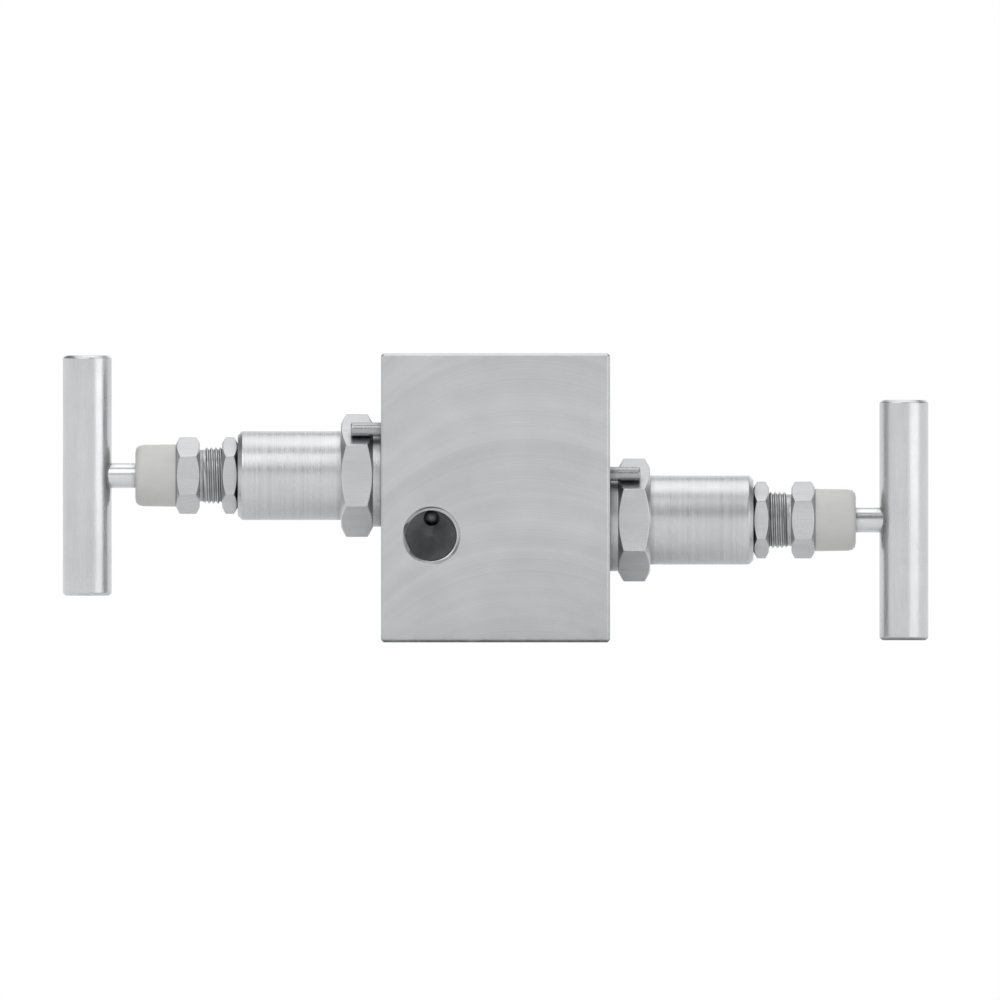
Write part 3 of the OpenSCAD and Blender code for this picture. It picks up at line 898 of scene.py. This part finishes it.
@dataclass
class ValveBlock(Assembly):
    """The drilled block: three ports, two valve chambers, the passages and the holes of the lock pins."""

    valves: Sequence[ValveFrame]
    mounts: dict[str, dict]
    chamfer: float = 0.6
    edge: float = 0.1
    passage_r: float = 2.5
    hole_r: float = 10.0
    hole_lead: float = 0.3
    hole_depth: float = 9.4
    chamber_r: float = 9.0
    chamber_len: float = 3.9
    chamber_ease: float = 0.3
    seat_ease: float = 0.1
    drill_short: float = 0.8
    drill_past: float = 1.7
    passage_entry: float = 1.45
    main_thread: Thread = Thread(pitch=1.814, height=1.162, end=14.3, sink=0.95)
    main_bore: float = 17.2
    main_cone: float = 2.0
    vent_thread: Thread = Thread(pitch=1.337, height=0.856, sink=0.8)
    vent_runout: float = 1.0
    vent_blunt: float = 0.03
    cross_r: float = 1.8
    cross_reach: float = 4.0
    pin_r: float = 1.6
    pin_depth: float = 8.0
    pin_mouth: float = 0.15

    NAME = "valve_block_body"

    def __post_init__(self) -> None:
        """Reads the block's size from the frame."""
        low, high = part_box("valve_block")
        self.size: Vector = (high - low) / MM

    def blank(self) -> Thing:
        """The block before it is drilled, with chamfered and slightly rounded edges.

        Returns:
            The block.
        """
        mesh = bpy.data.meshes.new(self.NAME)
        work = bmesh.new()
        bmesh.ops.create_cube(work, size=1.0)
        bmesh.ops.scale(work, vec=self.size * MM, verts=work.verts)
        bmesh.ops.translate(work, vec=(0, 0, self.size.z / 2 * MM), verts=work.verts)
        for off, steps in ((self.chamfer, 1), (self.edge, 2)):
            edges = work.edges[:]
            bmesh.ops.bevel(work, geom=edges, offset=off * MM, segments=steps, profile=0.5, affect="EDGES")
        work.to_mesh(mesh)
        work.free()
        return link(self.NAME, mesh)

    def cut_main_ports(self, block: Thing) -> None:
        """Cuts the inlet port from below and the gauge port from above.

        Args:
            block: The block.
        """
        isolate, vent = self.valves
        base = Matrix.Rotation(-QUARTER_TURN, 4, "Y")
        top = Matrix.Translation((0, 0, self.size.z * MM)) @ Matrix.Rotation(QUARTER_TURN, 4, "Y")
        mouths = (("inlet_port", base, isolate.axis_z), ("gauge_port", top, self.size.z - vent.axis_z))
        for name, matrix, to_axis in mouths:
            thread = replace(self.main_thread, core=self.mounts[name]["dims"]["r_mm"])
            reach = to_axis - self.drill_short
            port = Port(thread, self.main_bore, self.main_cone, self.passage_r, reach)
            carve(block, port.tool(), matrix)

    def cut_vent_port(self, block: Thing) -> None:
        """Cuts the vent port in the front, and the cross drilling that joins it to the vent's chamber.

        Args:
            block: The block.
        """
        mount = self.mounts["vent_port"]
        minor_r = mount["dims"]["r_mm"]
        depth = mount["dims"]["length_mm"] + self.vent_thread.sink
        place = (mount["pos_m"][0], -self.size.y / 2 * MM, mount["pos_m"][2])
        front = Matrix.Translation(place) @ Matrix.Rotation(QUARTER_TURN, 4, "Z")
        thread = replace(self.vent_thread, core=minor_r, end=depth - self.vent_runout)
        point, blunt = drill_point(minor_r), self.vent_blunt
        port = Port(thread, depth, point * (1 - blunt), minor_r * blunt, depth + point)
        carve(block, port.tool(), front)
        cross = front @ Matrix.Translation((0, 0, (minor_r - self.cross_r) * MM))
        carve(block, drill(depth - CLEAR, self.cross_r, self.size.y / 2 + self.cross_reach), cross)

    def chamber_tool(self, reach: float) -> Thing:
        """Solid that cuts a bonnet's hole, its chamber, the seat and the drilling behind it.

        Args:
            reach: Depth of the drilling's full radius.

        Returns:
            The solid, in the valve's frame.
        """
        mouth_r, floor = self.hole_r + self.hole_lead, -self.hole_depth - self.chamber_len
        corners = [
            *step(CLEAR, 0, mouth_r),
            Corner(0.0, mouth_r),
            Corner(-self.hole_lead, self.hole_r),
            *step(-self.hole_depth, self.hole_r, self.chamber_r),
            Corner(floor, self.chamber_r, self.chamber_ease),
            Corner(floor - self.chamber_r + self.passage_r, self.passage_r, self.seat_ease),
            Corner(-reach, self.passage_r),
            Corner(-reach - drill_point(self.passage_r), 0),
        ]
        return turned("chamber", corners)

    def fittings(self) -> list[Fitting]:
        """The block with everything cut into it.

        Returns:
            The one piece of this group.
        """
        block = self.blank()
        self.cut_main_ports(block)
        far_floor = self.size.x - self.hole_depth - self.chamber_len
        reaches = (self.size.x / 2 + self.drill_past, far_floor + self.passage_entry)
        for valve, reach in zip(self.valves, reaches):
            carve(block, self.chamber_tool(reach), valve.matrix)
            inwards = valve.pin @ Matrix.Rotation(math.pi, 4, "Z")
            carve(block, drill(-CLEAR, self.pin_r, self.pin_depth, self.pin_mouth), inwards)
        self.cut_vent_port(block)
        return [Fitting(block, Matrix.Identity(4), "block_steel", MILLED_BLOCK)]


@dataclass
class Bonnet(Assembly):
    """The screwed bonnet and the pin that locks its hexagon."""

    frame: ValveFrame
    shank_end: float = -9.4
    shank_r: float = 9.95
    shank_lead: float = 0.3
    collar_r: float = 11.5
    hexagon: Hexagon = Hexagon(24.0, 0.35, start=1.8, end=9.0, edge=0.15)
    barrel_r: float = 10.0
    barrel_end: float = 32.2
    barrel_chamfer: float = 1.0
    mouth_r: float = 5.2
    mouth_end: float = -1.4
    guide_r: float = 3.68
    groove_mid: float = 2.4
    groove_len: float = 2.4
    groove_r: float = 5.47
    box_r: float = 5.7
    box_end: float = 21.5
    screw_r: float = 6.4
    screw_sink: float = 0.3
    screw_sink_len: float = 0.5
    edge: float = 0.2
    pin_r: float = 1.58
    pin_len: float = 8.0
    pin_foot_ease: float = 0.3
    pin_head_ease: float = 0.5

    def bonnet(self) -> Thing:
        """Shank, collar, hexagon and barrel, hollow for the stem and the packing.

        Returns:
            The bonnet.
        """
        edge, hexagon = self.edge, self.hexagon
        shank = [
            Corner(self.shank_end, self.shank_r - self.shank_lead),
            Corner(self.shank_end + self.shank_lead, self.shank_r),
            Corner(0.0, self.shank_r),
            Corner(0.0, self.collar_r, edge / 2),
            Corner(hexagon.start, self.collar_r),
        ]
        barrel = [
            Corner(hexagon.end, self.barrel_r, edge),
            Corner(self.barrel_end - self.barrel_chamfer, self.barrel_r, edge),
            Corner(self.barrel_end, self.barrel_r - self.barrel_chamfer, edge),
        ]
        inside = [
            Corner(self.barrel_end, self.screw_r + self.screw_sink, edge / 2),
            Corner(self.barrel_end - self.screw_sink_len, self.screw_r),
            *step(self.box_end, self.screw_r, self.box_r),
            *step(hexagon.end, self.box_r, self.guide_r),
            *step(self.groove_mid + self.groove_len / 2, self.guide_r, self.groove_r),
            *step(self.groove_mid - self.groove_len / 2, self.groove_r, self.guide_r),
            *step(self.mouth_end, self.guide_r, self.mouth_r),
            Corner(self.shank_end, self.mouth_r),
        ]
        return skin(
            self.frame.label("bonnet"),
            lambda angle: softened(shank + hexagon.side(angle) + barrel + inside),
            hexagon.angles(), ring=True,
        )

    def lock_pin(self) -> Thing:
        """Ground pin with broken edges, its x axis pointing out.

        Returns:
            The pin.
        """
        foot, head = -self.pin_len, self.frame.pin_proud
        ends = [Corner(foot, 0), Corner(foot, self.pin_r, self.pin_foot_ease)]
        ends += [Corner(head, self.pin_r, self.pin_head_ease), Corner(head, 0)]
        return turned(self.frame.label("lock_pin"), ends, steps=STEPS_SMALL)

    def fittings(self) -> list[Fitting]:
        """Both pieces, fixed to the block.

        Returns:
            The bonnet and its pin.
        """
        return [
            Fitting(self.bonnet(), self.frame.matrix, "bonnet_steel", TURNED_BONNET, self.hexagon),
            Fitting(self.lock_pin(), self.frame.pin, "pin_steel", PIN_STEEL),
        ]


@dataclass
class Gland(Assembly):
    """The gland screw that presses the packing, its lock nut and the dust cap on its spigot."""

    frame: ValveFrame
    head: Hexagon = Hexagon(15.0, 0.25, start=40.7, end=46.0, edge=0.12)
    nut: Hexagon = Hexagon(15.0, 0.25, start=32.2, end=35.7, edge=0.1)
    thread: Thread = Thread(pitch=1.0, height=0.55, core=5.8, start=22.6, end=40.0)
    bore_r: float = 2.95
    bore_len: float = 1.0
    bore_ease: float = 0.1
    nose_start: float = 20.8
    nose_lead: float = 0.3
    nose_r: float = 5.6
    nose_end: float = 22.0
    edge: float = 0.2
    nut_bore_r: float = 6.4
    nut_sink: float = 0.35
    nut_sink_len: float = 0.5
    spigot_r: float = 6.0
    spigot_end: float = 47.7
    cap_lift: float = 0.02
    cap_play: float = 0.05
    cap_mouth: float = 0.15
    cap_lead: float = 0.3
    cap_r: float = 7.0
    cap_draft: float = 0.12
    cap_end: float = 55.2
    cap_wall: float = 1.7
    cap_ease: float = 1.9
    cap_inner_ease: float = 0.9
    stem_hole_r: float = 2.9
    stem_hole_ease: float = 0.25

    def gland_screw(self) -> Thing:
        """Nose, cut thread, hexagon and spigot.

        Returns:
            The gland screw.
        """
        thread, hexagon = self.thread, self.head
        nose = [
            (self.nose_start, self.bore_r),
            (self.nose_start, self.nose_r - self.nose_lead),
            (self.nose_start + self.nose_lead, self.nose_r),
            (self.nose_end, self.nose_r),
        ]
        neck = [Corner(thread.end, thread.core), Corner(hexagon.start, thread.core, self.edge)]
        spigot = [
            Corner(hexagon.end, self.spigot_r),
            Corner(self.spigot_end, self.spigot_r, self.edge),
            Corner(self.spigot_end, self.bore_r, self.bore_ease),
            Corner(self.spigot_end - self.bore_len, self.bore_r),
        ]
        return skin(
            self.frame.label("gland_screw"),
            lambda angle: nose + thread.points(angle) + softened(neck + hexagon.side(angle) + spigot)[1:],
            hexagon.angles(), ring=True,
        )

    def lock_nut(self) -> Thing:
        """Hexagon nut against the barrel's end.

        Returns:
            The lock nut.
        """
        hexagon = self.nut
        bore = [
            Corner(hexagon.end, self.nut_bore_r + self.nut_sink, hexagon.edge),
            Corner(hexagon.end - self.nut_sink_len, self.nut_bore_r),
            Corner(hexagon.start + self.nut_sink_len, self.nut_bore_r),
            Corner(hexagon.start, self.nut_bore_r + self.nut_sink),
        ]
        name = self.frame.label("lock_nut")
        return skin(name, lambda angle: softened(hexagon.side(angle) + bore), hexagon.angles(), ring=True)

    def dust_cap(self) -> Thing:
        """Moulded cap with a round outer edge, pushed on the spigot.

        Returns:
            The dust cap.
        """
        start, bore = self.head.end + self.cap_lift, self.spigot_r + self.cap_play
        corners = [
            Corner(start, bore + self.cap_mouth),
            Corner(start, self.cap_r, self.edge),
            Corner(self.cap_end, self.cap_r - self.cap_draft, self.cap_ease),
            Corner(self.cap_end, self.stem_hole_r, self.stem_hole_ease),
            Corner(self.cap_end - self.cap_wall, self.stem_hole_r),
            Corner(self.cap_end - self.cap_wall, bore, self.cap_inner_ease),
            Corner(start + self.cap_lead, bore),
        ]
        return turned(self.frame.label("dust_cap"), corners, ring=True)

    def fittings(self) -> list[Fitting]:
        """All three pieces, fixed to the bonnet.

        Returns:
            The gland screw, the lock nut and the dust cap.
        """
        place = self.frame.matrix
        return [
            Fitting(self.gland_screw(), place, "gland_steel", TURNED_GLAND, self.head),
            Fitting(self.lock_nut(), place, "nut_steel", TURNED_GLAND, self.nut),
            Fitting(self.dust_cap(), place, "cap_plastic", CAP_PLASTIC),
        ]


@dataclass
class Spindle(Assembly):
    """The stem with its handle bar and the set screw that holds it: what a hand turns."""

    frame: ValveFrame
    ball_u: float = -9.33
    ball_r: float = 3.1
    ball_steps: int = 12
    neck_r: float = 1.5
    shoulder: float = -3.9
    shoulder_ease: float = 0.3
    seal_r: float = 3.6
    seal_end: float = 16.6
    drive: Thread = Thread(pitch=1.0, height=0.5, core=2.4, start=17.2, end=42.2)
    tail_r: float = 2.8
    tail_end: float = 68.65
    tail_lead_ease: float = 0.1
    tail_ease: float = 0.2
    bar_u: float = 66.0
    bar_r: float = 5.5
    bar_len: float = 54.0
    bar_chamfer: float = 0.6
    bar_edge: float = 0.15
    socket_r: float = 2.85
    socket_past: float = 2.19
    screw_r: float = 2.45
    screw_len: float = 12.5
    screw_low: float = 0.7
    screw_pitch: float = 0.8
    screw_depth: float = 0.45
    screw_point: float = 0.75
    screw_lead: float = 0.2
    screw_head: float = 0.4
    screw_edge: float = 0.1
    screw_hex: Hexagon = Hexagon(2.5, 0.02)
    screw_hex_depth: float = 2.5
    dimple_low: float = 0.6
    dimple_top: float = 4.0
    tapped_r: float = 2.5
    tapped_end: float = 14.0
    access_r: float = 3.1
    access_mouth: float = 0.25
    access_ease: float = 0.1

    @property
    def bar_place(self) -> Matrix:
        """Place of the handle bar in the valve's frame, its x axis pointing up."""
        return Matrix.Translation((self.bar_u * MM, 0, 0)) @ Matrix.Rotation(-QUARTER_TURN, 4, "Y")

    def stem(self) -> Thing:
        """Ball, neck, sealing length, driving thread and tail.

        Returns:
            The stem, with the dimple of the set screw.
        """
        swing = math.pi - math.asin(self.neck_r / self.ball_r)
        turns = [math.pi - swing * k / self.ball_steps for k in range(self.ball_steps + 1)]
        ball = [(self.ball_u + self.ball_r * math.cos(turn), self.ball_r * math.sin(turn)) for turn in turns]
        thread = self.drive
        shank = softened([
            Corner(self.shoulder, self.neck_r),
            Corner(self.shoulder, self.seal_r, self.shoulder_ease),
            Corner(self.seal_end, self.seal_r, self.shoulder_ease),
            Corner(self.seal_end, thread.core),
        ])
        tail = softened([
            Corner(thread.end, thread.core),
            Corner(thread.end, self.tail_r, self.tail_lead_ease),
            Corner(self.tail_end - self.tail_r / 2, self.tail_r, self.tail_ease),
            Corner(self.tail_end, self.tail_r / 2, self.tail_ease),
            Corner(self.tail_end, 0),
        ])
        stem = skin(
            self.frame.label("stem"),
            lambda angle: ball + shank + thread.points(angle) + tail[1:],
            round_angles(STEPS_STEM),
        )
        cone_end = self.dimple_low + drill_point(self.tapped_r)
        dimple = [Corner(self.dimple_low, 0), Corner(cone_end, self.tapped_r)]
        dimple += step(self.dimple_top, self.tapped_r, 0)
        carve(stem, turned("dimple", dimple, steps=STEPS_SMALL), self.bar_place)
        return stem

    def handle_bar(self) -> Thing:
        """Bar with chamfered ends, drilled for the stem and for the set screw.

        Returns:
            The handle bar.
        """
        half, chamfer, edge = self.bar_len / 2, self.bar_chamfer, self.bar_edge
        end = [
            Corner(half, 0),
            Corner(half, self.bar_r - chamfer, edge),
            Corner(half - chamfer, self.bar_r, edge),
        ]
        other_end = [replace(corner, u=-corner.u) for corner in reversed(end)]
        bar = turned(self.frame.label("t_handle"), end + other_end)
        mouth = Matrix.Translation((0, 0, self.bar_r * MM)) @ Matrix.Rotation(QUARTER_TURN, 4, "Y")
        carve(bar, drill(-CLEAR, self.socket_r, self.bar_r + self.socket_past), mouth)
        mouth_r = self.access_r + self.access_mouth
        access = [
            *step(0.0, 0, self.tapped_r),
            *step(self.tapped_end, self.tapped_r, self.access_r),
            Corner(half - self.access_mouth, self.access_r, self.access_ease),
            Corner(half + SKIM, mouth_r),
            *step(half + CLEAR, mouth_r, 0),
        ]
        carve(bar, turned("access_hole", access))
        return bar

    def set_screw(self) -> Thing:
        """Cone-point set screw with a hexagon socket.

        Returns:
            The set screw, standing on its point.
        """
        top = self.screw_low + self.screw_len
        point_r, core = self.screw_point * self.screw_r, self.screw_r - self.screw_depth
        cone_end, thread_end = self.screw_low + drill_point(point_r), top - self.screw_head
        start = cone_end + self.screw_lead
        thread = Thread(self.screw_pitch, self.screw_depth, core, start, thread_end)
        point = [(self.screw_low, 0.0), (cone_end, point_r)]
        head = softened([Corner(thread_end, core), Corner(top, core, self.screw_edge), Corner(top, 0)])[1:]
        screw = skin(
            self.frame.label("set_screw"),
            lambda angle: point + thread.points(angle) + head,
            round_angles(STEPS_SMALL),
        )
        low, high, hexagon = top - self.screw_hex_depth, top + CLEAR, self.screw_hex

        def socket(angle: float) -> list[Point]:
            """Section of the hexagon socket at an angle."""
            r = hexagon.radius(angle)
            return [(low, 0.0), (low, r), (high, r), (high, 0.0)]

        carve(screw, skin("hexagon_socket", socket, hexagon.angles()))
        return screw

    def fittings(self) -> list[Fitting]:
        """All three pieces, which turn with the valve's spindle.

        Returns:
            The stem, the handle bar and the set screw.
        """
        body, bar = f"{self.frame.name}_spindle", self.frame.matrix @ self.bar_place
        return [
            Fitting(self.stem(), self.frame.matrix, "stem_steel", GROUND_STEM, body=body),
            Fitting(self.handle_bar(), bar, "handle_steel", ROUND_BAR, body=body),
            Fitting(self.set_screw(), bar, "screw_steel", SCREW_STEEL, body=body),
        ]


@dataclass
class InnerPieces:
    """The pieces inside the valves, which keep their frame shapes and get only a finish."""

    nodes: dict[str, Thing]

    FINISHES = {
        "valve_tip": TIP_STEEL,
        "stem_ring": BLACK_RUBBER,
        "packing_washer": TURNED_GLAND,
        "packing_rings": SOFT_PACKING,
        "thrust_sleeve": BRONZE,
    }

    def build(self, finisher: Finisher) -> None:
        """Dresses every inner piece.

        Args:
            finisher: Makes the materials.
        """
        for name, node in self.nodes.items():
            for ending, finish in self.FINISHES.items():
                if name.endswith(ending):
                    node.data.materials.clear()
                    node.data.materials.append(finisher.material(finish))
                    LOG.info("%s: dressed as %s", name, finish.name)


# The stage


@dataclass(frozen=True)
class Lamp:
    """A soft rectangular lamp: its place and its width and height in metres, and its power."""

    name: str
    place: tuple[float, float, float]
    size: tuple[float, float]
    watts: float


@dataclass
class Stage:
    """Pale floor, white surroundings, soft lamps and the camera of the drawing's front view."""

    view_width_m: float = 0.2247
    view_centre_m: tuple[float, float] = (0.001, 0.032)
    camera_back_m: float = 0.9
    camera_clip_m: tuple[float, float] = (0.01, 20.0)
    floor_half_m: float = 3.0
    floor_drop_m: float = 0.0002
    floor_colour: Colour = (0.86, 0.86, 0.86)
    floor_roughness: float = 0.7
    floor_specular: float = 0.2
    floor_fade_mm: tuple[float, float] = (150.0, 245.0)
    daylight: float = 0.60

    SKY = ((0.0, 1.0), (0.10, 1.0), (0.26, 0.42), (0.55, 0.16), (0.80, 0.30), (1.0, 0.75))
    LAMPS = (
        Lamp("key_lamp", (-0.30, -0.45, 0.50), (0.70, 0.50), 1.9),
        Lamp("fill_lamp", (0.50, -0.35, 0.25), (0.50, 0.50), 0.7),
        Lamp("top_lamp", (0.05, 0.10, 0.60), (0.90, 0.50), 1.2),
        Lamp("back_lamp", (0.10, 0.60, 0.35), (0.90, 0.40), 0.9),
    )

    def camera(self) -> None:
        """Flat front view, as the drawing has."""
        lens = bpy.data.cameras.new("camera")
        lens.type = "ORTHO"
        lens.ortho_scale = self.view_width_m
        lens.clip_start, lens.clip_end = self.camera_clip_m
        camera = link("camera", lens)
        camera.location = (self.view_centre_m[0], -self.camera_back_m, self.view_centre_m[1])
        camera.rotation_euler = (QUARTER_TURN, 0, 0)
        bpy.context.scene.camera = camera

    def floor(self) -> None:
        """Wide pale floor just under the part, which fades to the white of the background."""
        half = self.floor_half_m
        mesh = bpy.data.meshes.new("floor")
        corners = [(-half, -half), (half, -half), (half, half), (-half, half)]
        mesh.from_pydata([(x, y, -self.floor_drop_m) for x, y in corners], [], [(0, 1, 2, 3)])
        material = bpy.data.materials.new("pale_floor")
        material.use_nodes = True
        nodes, sheet = material.node_tree.nodes, Sheet(material.node_tree)
        surface = nodes["Principled BSDF"]
        sheet.feed(surface.inputs, {
            "Base Color": (*self.floor_colour, 1),
            "Roughness": self.floor_roughness,
            "Specular IOR Level": self.floor_specular,
        })
        far = sheet.span(sheet.vector("LENGTH", sheet.millimetres()), *self.floor_fade_mm)
        white = sheet.add("ShaderNodeEmission", {"Color": WHITE, "Strength": 1.0}).outputs[0]
        faded = sheet.calc("MULTIPLY", far, sheet.shown())
        mix = sheet.add("ShaderNodeMixShader", {0: faded, 1: surface.outputs[0], 2: white})
        sheet.feed(nodes["Material Output"].inputs, {0: mix.outputs[0]})
        mesh.materials.append(material)
        link("floor", mesh)

    def world(self) -> None:
        """Even daylight, with a white horizon behind the part and darker height in its shine."""
        world = bpy.data.worlds.new("studio")
        world.use_nodes = True
        bpy.context.scene.world = world
        world.node_tree.nodes.clear()
        sheet = Sheet(world.node_tree)
        height = sheet.calc("ABSOLUTE", sheet.axes(sheet.add("ShaderNodeTexCoord").outputs["Generated"])[2])
        straight = sheet.add("ShaderNodeLightPath").outputs["Is Camera Ray"]
        ramp = sheet.add("ShaderNodeValToRGB", {0: height})
        stops = ramp.color_ramp.elements
        for i, (where, level) in enumerate(self.SKY):
            stop = stops[i] if i < len(stops) else stops.new(where)
            stop.position, stop.color = where, (level, level, level, 1)
        white = sheet.calc("MAXIMUM", straight, ramp.outputs[0])
        lit = sheet.add("ShaderNodeBackground", {"Color": WHITE, "Strength": self.daylight})
        seen = sheet.add("ShaderNodeBackground", {"Color": WHITE, "Strength": white})
        mix = sheet.add("ShaderNodeMixShader", {0: sheet.shown(), 1: lit.outputs[0], 2: seen.outputs[0]})
        sheet.add("ShaderNodeOutputWorld", {0: mix.outputs[0]})

    def hang(self, lamp: Lamp) -> None:
        """Puts up a lamp, aimed at the middle of the part.

        Args:
            lamp: The lamp.
        """
        light = bpy.data.lights.new(lamp.name, "AREA")
        light.shape = "RECTANGLE"
        light.size, light.size_y = lamp.size
        light.energy = lamp.watts
        holder = link(lamp.name, light)
        holder.location = lamp.place
        aim = Vector((0, 0, self.view_centre_m[1])) - holder.location
        holder.rotation_euler = aim.to_track_quat("-Z", "Y").to_euler()

    def build(self) -> None:
        """Sets the whole stage."""
        self.camera()
        self.floor()
        self.world()
        for lamp in self.LAMPS:
            self.hang(lamp)
        bpy.context.scene.view_settings.view_transform = "Standard"
        LOG.info("stage set")


def main() -> None:
    """Builds the stage and every assembly."""
    logging.basicConfig(level=logging.INFO, format="%(name)s %(message)s")
    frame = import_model()
    Stage().build()
    finisher = Finisher()
    valves = (ValveFrame("isolate", 1), ValveFrame("vent", -1))
    mounts = {mount["name"]: mount for mount in frame["record"]["mounts"]}
    ValveBlock(valves, mounts).build(finisher)
    for valve in valves:
        for assembly in (Bonnet, Gland, Spindle):
            assembly(valve).build(finisher)
    InnerPieces(frame["nodes"]).build(finisher)


if __name__ == "__main__":
    main()
